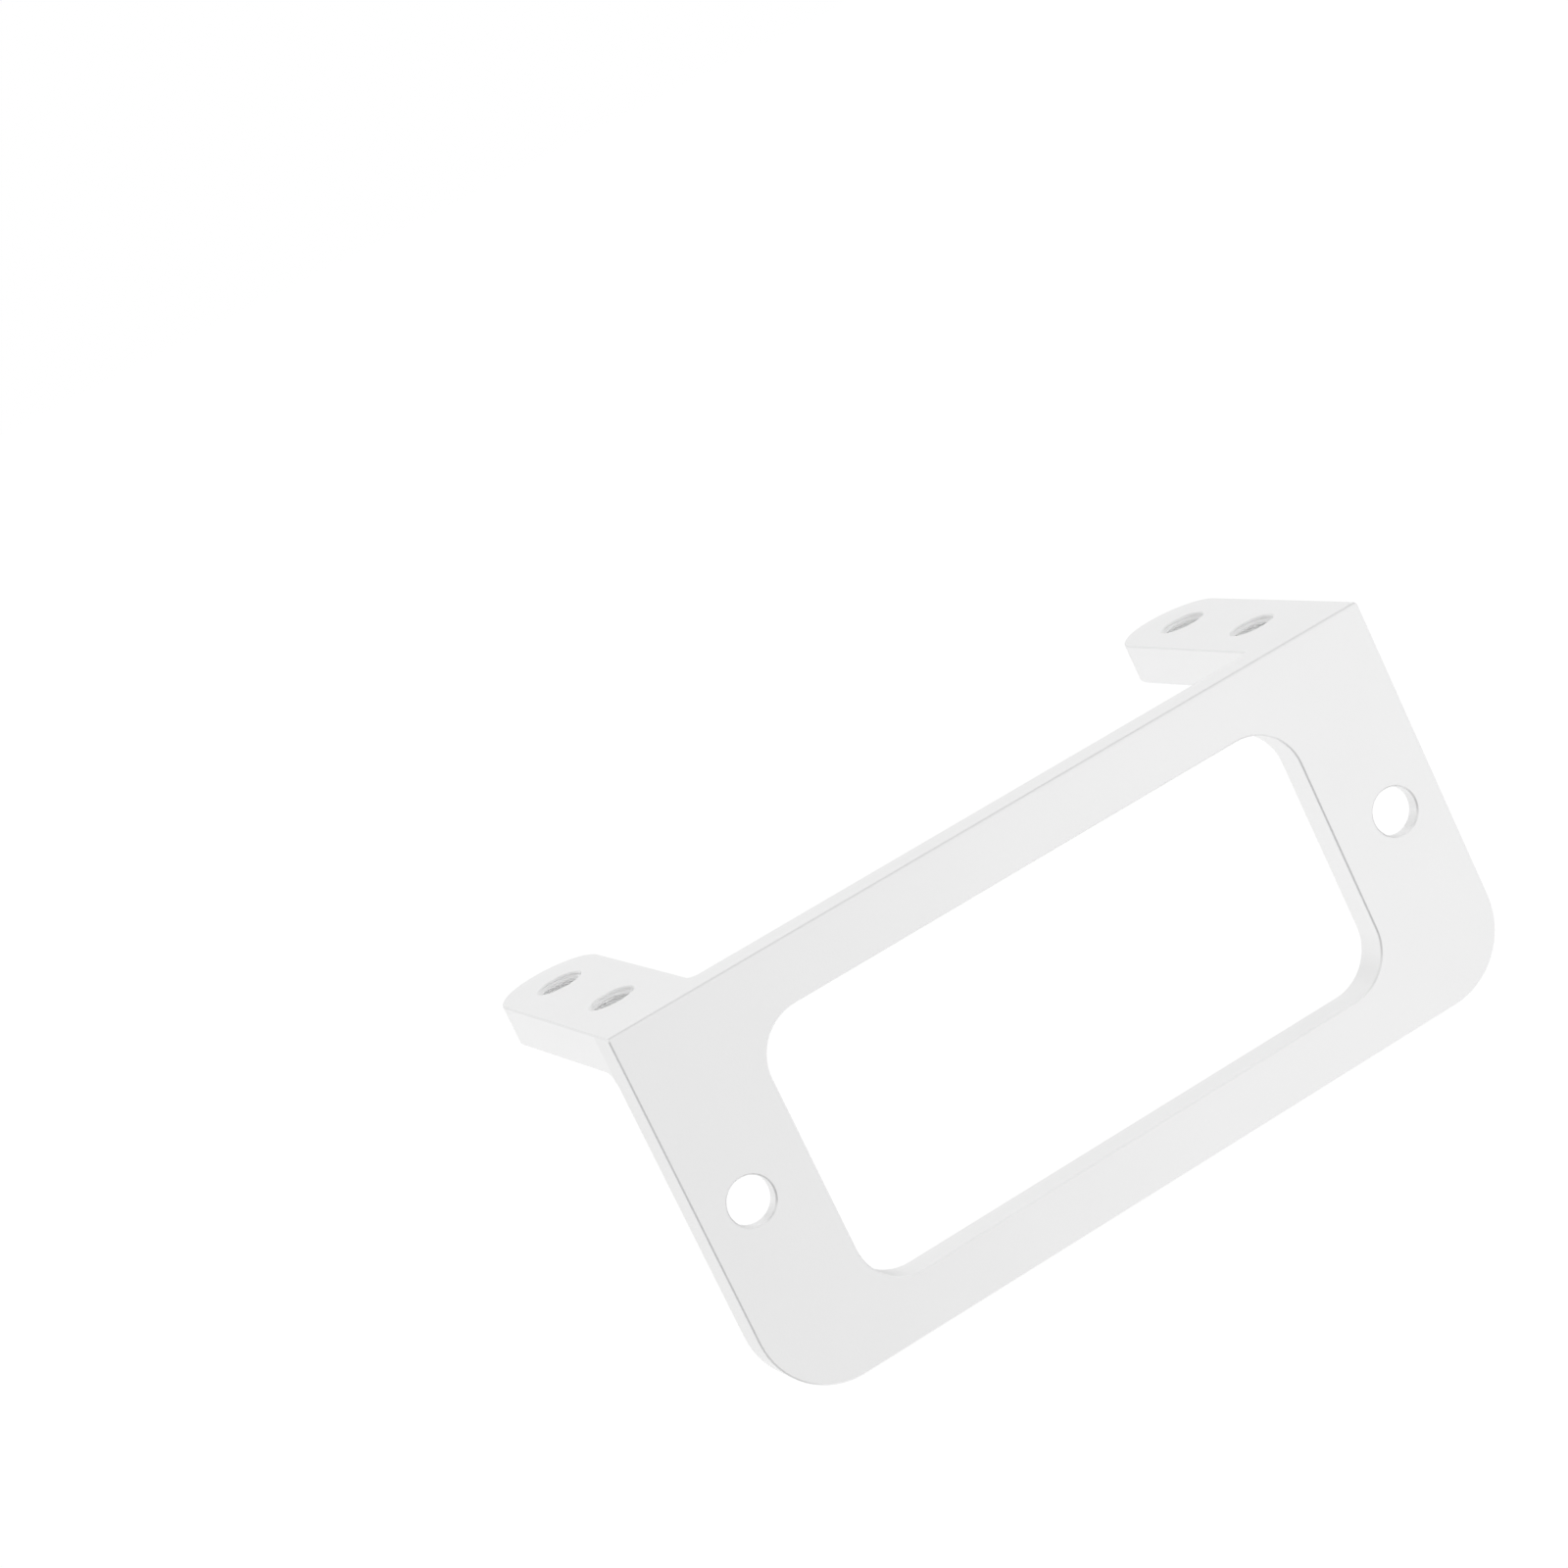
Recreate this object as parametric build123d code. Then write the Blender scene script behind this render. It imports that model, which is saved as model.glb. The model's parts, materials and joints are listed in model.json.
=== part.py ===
from build123d import *
import os

os.makedirs("parts", exist_ok=True)

# Servo bracket, one piece of aluminium: an upright plate with a large window and a screw hole at
# each end, and two thick tabs that run back from the ends of its top edge, each with two tapped
# holes. The piece is milled from an L-section bar, and keeps the bar's small outer radius and its
# fillet in the corner of the L.

# Frame: the origin is midway between the two plate screw holes on the plate's front face.
# +X runs along the plate, +Y from the front face back over the tabs, +Z up to the tabs.

# Fixing pattern: both rows of holes share the spacing along the plate
hole_spacing = 49.5
tapped_hole_pitch = 10.0
thread_diameter = 3.0

# Plate screws, countersunk in the back face
screw_hole_diameter = 3.2
countersink_diameter = 6.4
countersink_angle = 90.0
countersink_rim = 0.35

# L-section
plate_height = 26.5
plate_thickness = 2.7
tab_thickness = 2.8
bar_corner_radius = 0.3
bend_fillet = 1.0

# Tabs, as wide as a countersink and its two rims
tab_width = countersink_diameter + 2 * countersink_rim
plate_to_tapped_hole = 5.6
tapped_hole_to_tip = 5.0
tab_root_fillet = 0.6

# Plate outline and window
lower_corner_radius = 5.2
top_rail = 3.95
bottom_rail = 3.75
window_to_tab = 1.05
window_corner_radius = 3.4

# Every milled edge is broken by a small chamfer, which the fillets leave room for while it is cut.
# Faces that turn by less than the smooth angle meet without an edge.
edge_break = 0.1
smooth_angle = 20.0
chamfer_room = 3 * edge_break

plate_length = hole_spacing + tab_width
plate_top = plate_height / 2
tab_underside = plate_top - tab_thickness
tab_gap = plate_length - 2 * tab_width
tapped_row_y = plate_thickness + plate_to_tapped_hole + tapped_hole_pitch / 2
tab_reach = tapped_row_y + tapped_hole_pitch / 2 + tapped_hole_to_tip
tab_tip_radius = tab_width / 2
window_length = tab_gap - 2 * window_to_tab
window_height = plate_height - top_rail - bottom_rail
window_centre_z = (bottom_rail - top_rail) / 2


def section_bar():
    """The L-section bar, cut to the plate's length."""
    with BuildPart() as bar:
        with BuildSketch(Plane.YZ.offset(-plate_length / 2)) as section:
            with Locations((0, plate_top)):
                Rectangle(plate_thickness, plate_height, align=(Align.MIN, Align.MAX))
                Rectangle(tab_reach, tab_thickness, align=(Align.MIN, Align.MAX))
            fillet(section.vertices().sort_by_distance((0, plate_top))[0], bar_corner_radius)
        extrude(amount=plate_length)
    return bar.part


def plan_outline():
    """What the bar keeps when it is seen from above: the plate's edge and the two tabs."""
    with BuildPart() as plan:
        with BuildSketch(Plane.XY.offset(-plate_top)):
            Rectangle(plate_length, plate_thickness, align=(Align.CENTER, Align.MIN))
            with GridLocations(hole_spacing, 0, 2, 1):
                Rectangle(tab_width, tab_reach - tab_tip_radius, align=(Align.CENTER, Align.MIN))
            with Locations((0, tab_reach - tab_tip_radius)):
                with GridLocations(hole_spacing, 0, 2, 1):
                    Circle(tab_tip_radius)
        extrude(amount=plate_height)
    return plan.part


def front_outline():
    """What the bar keeps when it is seen from the front: the plate with its window."""
    with BuildPart() as front:
        with BuildSketch(Plane.XZ) as outline:
            Rectangle(plate_length, plate_height)
            fillet(outline.vertices().group_by(Axis.Y)[0], lower_corner_radius)
            with Locations((0, window_centre_z)):
                RectangleRounded(window_length, window_height, window_corner_radius, mode=Mode.SUBTRACT)
        extrude(amount=-tab_reach)
    return front.part


def corner_fill(corner, radius, begin, end):
    """What a fillet adds to a square inside corner, from begin to end along the plane's normal."""
    with BuildPart() as fill:
        with BuildSketch(corner.offset(begin)):
            Rectangle(radius, radius, align=Align.MIN)
            with Locations((radius, radius)):
                Circle(radius, mode=Mode.SUBTRACT)
        extrude(amount=end - begin)
    return fill.part


def add_fillets(under_from, root_from, short):
    """Adds the fillets under the tabs and at their roots, ending short of the corner where they meet."""
    bend = corner_fill(under_tab, bend_fillet, under_from, tab_width - short)
    root = corner_fill(tab_root, tab_root_fillet, root_from, tab_thickness - short)
    for fill in (bend, root):
        add(fill)
        add(fill.mirror(Plane.YZ))


def corners(solid):
    """The outward edges where two faces meet at an angle, without those at the fillets' ends."""
    fillet_end = max(bend_fillet, tab_root_fillet) ** 2 / 4
    walls = [(face, face.edges()) for face in solid.faces()]
    found = ShapeList()
    for edge in solid.edges():
        meeting = [face for face, sides in walls if any(edge.is_same(side) for side in sides)]
        normals = [face.normal_at(edge @ 0.5) for face in meeting]
        sharp = normals[0].get_angle(normals[-1]) > smooth_angle
        if sharp and not edge.is_interior and min(face.area for face in meeting) > fillet_end:
            found.append(edge)
    return found


# The inside corners of the right tab, as planes across the corner: under the tab from its outer
# side inward, and at its root from the top face down
under_tab = Plane((plate_length / 2, plate_thickness, tab_underside), x_dir=(0, 1, 0), z_dir=(-1, 0, 0))
tab_root = Plane((tab_gap / 2, plate_thickness, plate_top), x_dir=(-1, 0, 0), z_dir=(0, 0, -1))

with BuildPart() as bracket:
    add(section_bar())
    add(plan_outline(), mode=Mode.INTERSECT)
    add(front_outline(), mode=Mode.INTERSECT)
    add_fillets(0, 0, chamfer_room)

    # Plate screw holes, with the screw heads sunk in the back face
    back_face = Plane((0, plate_thickness, 0), x_dir=(1, 0, 0), z_dir=(0, 1, 0))
    with Locations(back_face):
        with GridLocations(hole_spacing, 0, 2, 1):
            CounterSinkHole(
                screw_hole_diameter / 2,
                countersink_diameter / 2,
                counter_sink_angle=countersink_angle,
            )

    # Tapped holes through the tabs, at the thread's outside diameter
    with Locations((0, tapped_row_y, plate_top)):
        with GridLocations(hole_spacing, tapped_hole_pitch, 2, 2):
            Hole(thread_diameter / 2, depth=tab_thickness)

    # Edge breaks, and then the fillets' last stretch up to them
    chamfer(corners(bracket.part), edge_break)
    add_fillets(tab_width / 2, tab_thickness / 2, edge_break)

export_step(bracket.part, "parts/servo_bracket.step")
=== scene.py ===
import json
import math

import bmesh
import bpy
from mathutils import Matrix, Vector


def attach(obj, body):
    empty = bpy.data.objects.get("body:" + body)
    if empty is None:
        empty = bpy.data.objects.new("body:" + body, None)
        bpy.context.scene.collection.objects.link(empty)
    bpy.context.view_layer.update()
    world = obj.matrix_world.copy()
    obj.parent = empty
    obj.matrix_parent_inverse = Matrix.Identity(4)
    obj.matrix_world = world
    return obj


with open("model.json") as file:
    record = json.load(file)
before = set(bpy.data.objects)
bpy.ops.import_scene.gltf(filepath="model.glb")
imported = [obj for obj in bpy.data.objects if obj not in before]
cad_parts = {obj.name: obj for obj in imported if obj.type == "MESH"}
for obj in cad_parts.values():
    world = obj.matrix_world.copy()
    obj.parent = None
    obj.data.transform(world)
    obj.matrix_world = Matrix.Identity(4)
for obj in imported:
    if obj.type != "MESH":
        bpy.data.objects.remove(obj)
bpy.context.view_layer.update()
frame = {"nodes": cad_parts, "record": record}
scene = bpy.context.scene
MM = 0.001


# Bracket body: an L-shaped bracket in one piece, milled from an extruded aluminium angle, drilled and
# countersunk, bead blasted and clear anodised. The imported node has its true section, bores, edge breaks
# and fillets, so it stays as it is and takes the finish. Its tabs are tapped last. The plate's end walls
# carry a painted shade, and the bores a painted light.
body = frame["nodes"]["servo_bracket"]
plate_thickness = 2.7 * MM
tapped_rows = next(mount for mount in frame["record"]["mounts"] if mount["name"] == "ear_screws")
row_spacing = tapped_rows["dims"]["spacing_x_mm"] * MM
hole_pitch = tapped_rows["dims"]["spacing_y_mm"] * MM
rows_middle = tapped_rows["pos_m"][1]


def linear(hex_colour):
    """An sRGB hex colour as the linear RGBA that a shader takes."""
    parts = [int(hex_colour[i:i + 2], 16) / 255 for i in (1, 3, 5)]
    return [p / 12.92 if p <= 0.04045 else ((p + 0.055) / 1.055) ** 2.4 for p in parts] + [1.0]


def add_node(tree, kind, inputs, **settings):
    """Adds a shader node with its settings. Each of its inputs gets a value or another node's output."""
    node = tree.nodes.new("ShaderNode" + kind)
    for name, value in settings.items():
        setattr(node, name, value)
    for name, value in inputs.items():
        if isinstance(value, bpy.types.NodeSocket):
            tree.links.new(value, node.inputs[name])
        else:
            node.inputs[name].default_value = value
    return node


def new_material(name):
    """A material without nodes, and its node tree."""
    material = bpy.data.materials.new(name)
    material.use_nodes = True
    material.node_tree.nodes.clear()
    return material, material.node_tree


# What a tap leaves on a bore's wall: torn steps too fine to see, which take the sheen off the metal.
# The bores' silver, lighter than the blasted faces, is painted light that lifts the shade inside the
# holes
bore_silver_painted_light = linear("#F6F6F6")
tapped_roughness = 0.9


def anodised_aluminium():
    """Clear anodised aluminium over a bead blast: a pale neutral silver. The blast makes its reflections
    soft and without direction, under a fine even grain and a cloudiness some millimetres wide."""
    silver = linear("#F1F1F1")
    cloud_silver = linear("#EEEEEE")
    cloud_width = 7 * MM
    # The dimples are 0.05 to 0.1 mm across, and are drawn twice as coarse, so that they show
    grain_width = 0.16 * MM
    grain_depth = 0.004 * MM
    grain_low, grain_high = 0.3, 0.7
    smoothest, roughest = 0.33, 0.40

    material, tree = new_material("bead_blasted_anodised_aluminium")
    coordinates = add_node(tree, "TexCoord", {})
    place = coordinates.outputs["Object"]
    spot = add_node(tree, "SeparateXYZ", {"Vector": place})

    grain = add_node(tree, "TexNoise", {
        "Vector": place,
        "Scale": 1 / grain_width,
        "Detail": 2.0,
        "Roughness": 0.6,
    })
    cloud = add_node(tree, "TexNoise", {
        "Vector": place,
        "Scale": 1 / cloud_width,
        "Detail": 3.0,
        "Roughness": 0.5,
    })
    blasted_colour = add_node(tree, "Mix", {
        "Factor": cloud.outputs["Fac"],
        "A": silver,
        "B": cloud_silver,
    }, data_type="RGBA")
    blasted_roughness = add_node(tree, "MapRange", {
        "Value": grain.outputs["Fac"],
        "From Min": grain_low,
        "From Max": grain_high,
        "To Min": smoothest,
        "To Max": roughest,
    })

    # Painted shade: the plate's two end walls, up to a faint line where the tabs' side walls begin, are a
    # touch greyer
    painted_end_shade = linear("#F9F9F9")
    line_width = 0.05 * MM
    ends_from, ends_to = 22 * MM, 23 * MM
    facing_from, facing_to = 0.9, 0.99
    in_plate = add_node(tree, "MapRange", {
        "Value": spot.outputs["Y"],
        "From Min": plate_thickness - line_width,
        "From Max": plate_thickness,
        "To Min": 1.0,
        "To Max": 0.0,
    })
    outward = add_node(tree, "Math", {0: spot.outputs["X"]}, operation="ABSOLUTE")
    at_end = add_node(tree, "MapRange", {
        "Value": outward.outputs[0],
        "From Min": ends_from,
        "From Max": ends_to,
    })
    normal = add_node(tree, "SeparateXYZ", {"Vector": coordinates.outputs["Normal"]})
    sideways = add_node(tree, "Math", {0: normal.outputs["X"]}, operation="ABSOLUTE")
    end_wall = add_node(tree, "MapRange", {
        "Value": sideways.outputs[0],
        "From Min": facing_from,
        "From Max": facing_to,
    })
    plate_end = add_node(tree, "Math", {
        0: in_plate.outputs["Result"],
        1: at_end.outputs["Result"],
    }, operation="MULTIPLY")
    end_shade_mask = add_node(tree, "Math", {
        0: plate_end.outputs[0],
        1: end_wall.outputs["Result"],
    }, operation="MULTIPLY")
    # The painted shade is multiplied into the blasted colour on the plate's end walls
    colour_with_end_shade = add_node(tree, "Mix", {
        "Factor": end_shade_mask.outputs[0],
        "A": blasted_colour.outputs["Result"],
        "B": painted_end_shade,
    }, data_type="RGBA", blend_type="MULTIPLY")

    # The tapped bores' walls and the lower half of their mouths are dull as the tap leaves them, and take
    # a lighter silver that is painted light, lifting the shade inside the holes
    tapped_to = 1.56 * MM
    tapped_fade = 0.02 * MM
    from_middle = add_node(tree, "VectorMath", {
        0: place,
        1: (0, rows_middle, 0),
    }, operation="SUBTRACT")
    quarter = add_node(tree, "VectorMath", {0: from_middle.outputs["Vector"]}, operation="ABSOLUTE")
    from_axis = add_node(tree, "VectorMath", {
        0: quarter.outputs["Vector"],
        1: (row_spacing / 2, hole_pitch / 2, 0),
    }, operation="SUBTRACT")
    in_plan = add_node(tree, "VectorMath", {
        0: from_axis.outputs["Vector"],
        1: (1, 1, 0),
    }, operation="MULTIPLY")
    radius = add_node(tree, "VectorMath", {0: in_plan.outputs["Vector"]}, operation="LENGTH")
    tapped = add_node(tree, "MapRange", {
        "Value": radius.outputs["Value"],
        "From Min": tapped_to - tapped_fade,
        "From Max": tapped_to,
        "To Min": 1.0,
        "To Max": 0.0,
    })
    # Painted light: the bores take a lighter silver than the blasted faces
    colour = add_node(tree, "Mix", {
        "Factor": tapped.outputs["Result"],
        "A": colour_with_end_shade.outputs["Result"],
        "B": bore_silver_painted_light,
    }, data_type="RGBA")
    roughness = add_node(tree, "Mix", {
        "Factor": tapped.outputs["Result"],
        "A": blasted_roughness.outputs["Result"],
        "B": tapped_roughness,
    }, data_type="FLOAT")

    bump = add_node(tree, "Bump", {
        "Height": grain.outputs["Fac"],
        "Distance": grain_depth,
        "Strength": 1.0,
    })
    shader = add_node(tree, "BsdfPrincipled", {
        "Base Color": colour.outputs["Result"],
        "Metallic": 1.0,
        "Roughness": roughness.outputs["Result"],
        "Normal": bump.outputs["Normal"],
    })
    add_node(tree, "OutputMaterial", {"Surface": shader.outputs["BSDF"]})
    return material


body.material_slots[0].material = anodised_aluminium()


# Threads: the four holes in the tabs are tapped M3, so their turns stand in from the bores' walls. A
# tap cuts them, a 60 degree V every half millimetre with a flat crest, and the countersunk mouths take
# off the start of the first turn at each end.
tab_thickness = 2.8 * MM
edge_break = 0.1 * MM
half_depth = tab_thickness / 2 - edge_break
tab_middle = tapped_rows["pos_m"][2] - tab_thickness / 2
pitch = 0.5 * MM
major_radius = 1.5 * MM
minor_radius = 1.3 * MM
flank_angle = math.radians(30)
crest_width = pitch / 4
root_width = crest_width + 2 * (major_radius - minor_radius) * math.tan(flank_angle)
buried = 0.03 * MM
steps_in_turn = 48
crease = math.radians(25)

# Light leaves a threaded bore after more reflections than Blender follows by itself
scene.cycles.glossy_bounces = 12
scene.cycles.max_bounces = 16


def tapped_thread(name, axis_x, axis_y, start_angle):
    """The turns of one tapped hole: a V-shaped ridge, wound up the bore and trimmed at both mouths."""
    thread = bmesh.new()
    profile = [
        (major_radius + buried, -root_width / 2),
        (minor_radius, -crest_width / 2),
        (minor_radius, crest_width / 2),
        (major_radius + buried, root_width / 2),
    ]
    start = -half_depth - pitch
    turns = math.ceil(2 * (half_depth + pitch) / pitch)
    thread.faces.new([thread.verts.new((radius, 0, start + height)) for radius, height in profile])
    bmesh.ops.spin(
        thread,
        geom=thread.verts[:] + thread.edges[:] + thread.faces[:],
        axis=(0, 0, 1),
        cent=(0, 0, 0),
        dvec=(0, 0, pitch / steps_in_turn),
        angle=turns * 2 * math.pi,
        steps=turns * steps_in_turn,
    )
    for side in (1, -1):
        cut = bmesh.ops.bisect_plane(
            thread,
            geom=thread.verts[:] + thread.edges[:] + thread.faces[:],
            plane_co=(0, 0, side * half_depth),
            plane_no=(0, 0, side),
            clear_outer=True,
        )
        rim = [edge for edge in cut["geom_cut"] if isinstance(edge, bmesh.types.BMEdge)]
        bmesh.ops.triangle_fill(thread, edges=rim, use_beauty=True)
    for vert in thread.verts:
        mouth_radius = major_radius - (half_depth - abs(vert.co.z))
        radius = vert.co.xy.length
        if radius < mouth_radius:
            vert.co.xy *= mouth_radius / radius
    bmesh.ops.rotate(thread, verts=thread.verts[:], matrix=Matrix.Rotation(start_angle, 3, "Z"))
    bmesh.ops.translate(thread, verts=thread.verts[:], vec=(axis_x, axis_y, tab_middle))
    bmesh.ops.recalc_face_normals(thread, faces=thread.faces[:])
    mesh = bpy.data.meshes.new(name)
    thread.to_mesh(mesh)
    thread.free()
    mesh.shade_smooth()
    mesh.set_sharp_from_angle(angle=crease)
    piece = bpy.data.objects.new(name, mesh)
    scene.collection.objects.link(piece)
    return piece


def tapped_aluminium_with_painted_light():
    """Aluminium as a tap cuts it, under the same clear film: dull, with fine torn steps that are drawn
    coarser than the real ones, so that they show. Its silver, lighter than the blasted faces, is painted
    light that lifts the shade inside the bores."""
    tear_width = 0.2 * MM
    tear_depth = 0.006 * MM

    material, tree = new_material("tapped_anodised_aluminium_with_painted_light")
    place = add_node(tree, "TexCoord", {}).outputs["Object"]
    tear = add_node(tree, "TexNoise", {
        "Vector": place,
        "Scale": 1 / tear_width,
        "Detail": 2.0,
    })
    bump = add_node(tree, "Bump", {
        "Height": tear.outputs["Fac"],
        "Distance": tear_depth,
        "Strength": 1.0,
    })
    # The lighter silver is painted light in the bores' shade
    shader = add_node(tree, "BsdfPrincipled", {
        "Base Color": bore_silver_painted_light,
        "Metallic": 1.0,
        "Roughness": tapped_roughness,
        "Normal": bump.outputs["Normal"],
    })
    add_node(tree, "OutputMaterial", {"Surface": shader.outputs["BSDF"]})
    return material


# Each tapped hole's side and row, and the angle in degrees at which its turns begin
holes = {
    "thread_left_near": (-1, -1, 195),
    "thread_left_far": (-1, 1, 180),
    "thread_right_near": (1, -1, 180),
    "thread_right_far": (1, 1, 195),
}
thread_metal = tapped_aluminium_with_painted_light()
for name, (side, row, start_degrees) in holes.items():
    piece = tapped_thread(
        name,
        side * row_spacing / 2,
        rows_middle + row * hole_pitch / 2,
        math.radians(start_degrees),
    )
    piece.data.materials.append(thread_metal)
    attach(piece, "root")


# Floor: a wide sheet of plain pale paper, well below the bracket, which is held above it by its screw
# holes. It has a slight glow of its own to the camera and to the metal's reflections, so that it is as
# white as the surroundings in both.
floor_drop = 160 * MM
floor_width = 6.0
floor_glow = 0.06


def stage_sheet(name, centre, facing, width, height, material):
    """A flat sheet that belongs to the studio and not to the bracket."""
    turn = Vector(facing).to_track_quat("Z", "Y").to_matrix().to_4x4()
    place = Matrix.Translation(centre) @ turn @ Matrix.Diagonal((width, height, 1, 1))
    square = bmesh.new()
    bmesh.ops.create_grid(square, x_segments=1, y_segments=1, size=0.5, matrix=place)
    mesh = bpy.data.meshes.new(name)
    square.to_mesh(mesh)
    square.free()
    mesh.materials.append(material)
    sheet = bpy.data.objects.new(name, mesh)
    scene.collection.objects.link(sheet)
    return sheet


def pale_paper():
    """Matt white paper, without gloss."""
    material, tree = new_material("pale_paper")
    rays = add_node(tree, "LightPath", {})
    seen = add_node(tree, "Math", {
        0: rays.outputs["Is Camera Ray"],
        1: rays.outputs["Is Glossy Ray"],
    }, operation="MAXIMUM")
    glow = add_node(tree, "Math", {0: seen.outputs[0], 1: floor_glow}, operation="MULTIPLY")
    shader = add_node(tree, "BsdfPrincipled", {
        "Base Color": linear("#FAFAFA"),
        "Roughness": 0.9,
        "Specular IOR Level": 0.0,
        "Emission Color": linear("#FFFFFF"),
        "Emission Strength": glow.outputs[0],
    })
    add_node(tree, "OutputMaterial", {"Surface": shader.outputs["BSDF"]})
    return material


stage_sheet("floor", (0, 0, -floor_drop), (0, 0, 1), floor_width, floor_width, pale_paper())


# Surroundings: a studio that is white all round, which gives the light, and grey cards that only the
# metal's reflections see, because satin metal in a white room would show none of its own form.
def grey_card(name, centre, facing, width, height, brightness):
    """An evenly bright card, seen in reflections alone. Its centre and its sides are in millimetres."""
    material, tree = new_material(name)
    glow = add_node(tree, "Emission", {"Color": linear("#FFFFFF"), "Strength": brightness})
    add_node(tree, "OutputMaterial", {"Surface": glow.outputs["Emission"]})
    sheet = stage_sheet(name, Vector(centre) * MM, facing, width * MM, height * MM, material)
    sheet.visible_camera = False
    sheet.visible_diffuse = False
    sheet.visible_shadow = False


# In the tabs' top faces, and in the broken edge along the plate's top
grey_card("top_card", (0, 160, 500), (0, 0, -1), 1000, 440, 0.72)
grey_card("back_card", (200, 800, 460), (0, -1, 0), 2400, 1200, 0.98)
grey_card("far_left_card", (-180, 780, 300), (0, -1, 0), 320, 360, 0.88)
# In the plate's front face, darker towards its left end
grey_card("front_card", (-48.5, -110, 25), (0, 1, 0), 143, 350, 0.90)
# In the broken edges on the left, and round the lower left corner
grey_card("left_card", (-260, -110, 0), (1, 0, 0), 200, 280, 0.53)
grey_card("low_left_card", (-170, -50, -150), (0, 0, 1), 220, 240, 0.68)
grey_card("high_left_card", (-220, -160, 420), (0.45, 0.25, -0.85), 260, 260, 0.60)
# In the faces that are only seen from the right and from behind
grey_card("right_card", (260, -70, -60), (-1, 0, 0), 160, 180, 0.70)
grey_card("back_right_card", (244, 426, -90), (-0.6, -0.75, 0.2), 420, 240, 0.70)

world = bpy.data.worlds.new("white_surroundings")
scene.world = world
world.use_nodes = True
sky = world.node_tree
sky.nodes.clear()
light = add_node(sky, "Background", {"Color": linear("#FFFFFF"), "Strength": 1.0})
add_node(sky, "OutputWorld", {"Surface": light.outputs["Background"]})


# Camera: a long lens in front of the plate, to its left and a little above it, tilted clockwise, from
# a fit of the bracket's own edges to the photograph. Distances are in millimetres, angles in degrees.
eye = Vector((-92.84, -251.39, 79.96)) * MM
heading = math.radians(-17.96)
down = math.radians(12.48)
lean = math.radians(-25.82)
focal_length = 102.99
sensor_width = 36
nearest_seen = 0.01
farthest_seen = 20
camera_data = bpy.data.cameras.new("camera")
camera_data.sensor_width = sensor_width
camera_data.lens = focal_length
camera_data.clip_start = nearest_seen
camera_data.clip_end = farthest_seen
camera = bpy.data.objects.new("camera", camera_data)
scene.collection.objects.link(camera)
camera.matrix_world = (
    Matrix.Translation(eye)
    @ Matrix.Rotation(heading, 4, "Z")
    @ Matrix.Rotation(math.pi / 2 - down, 4, "X")
    @ Matrix.Rotation(lean, 4, "Z")
)
scene.camera = camera
scene.view_settings.view_transform = "Standard"
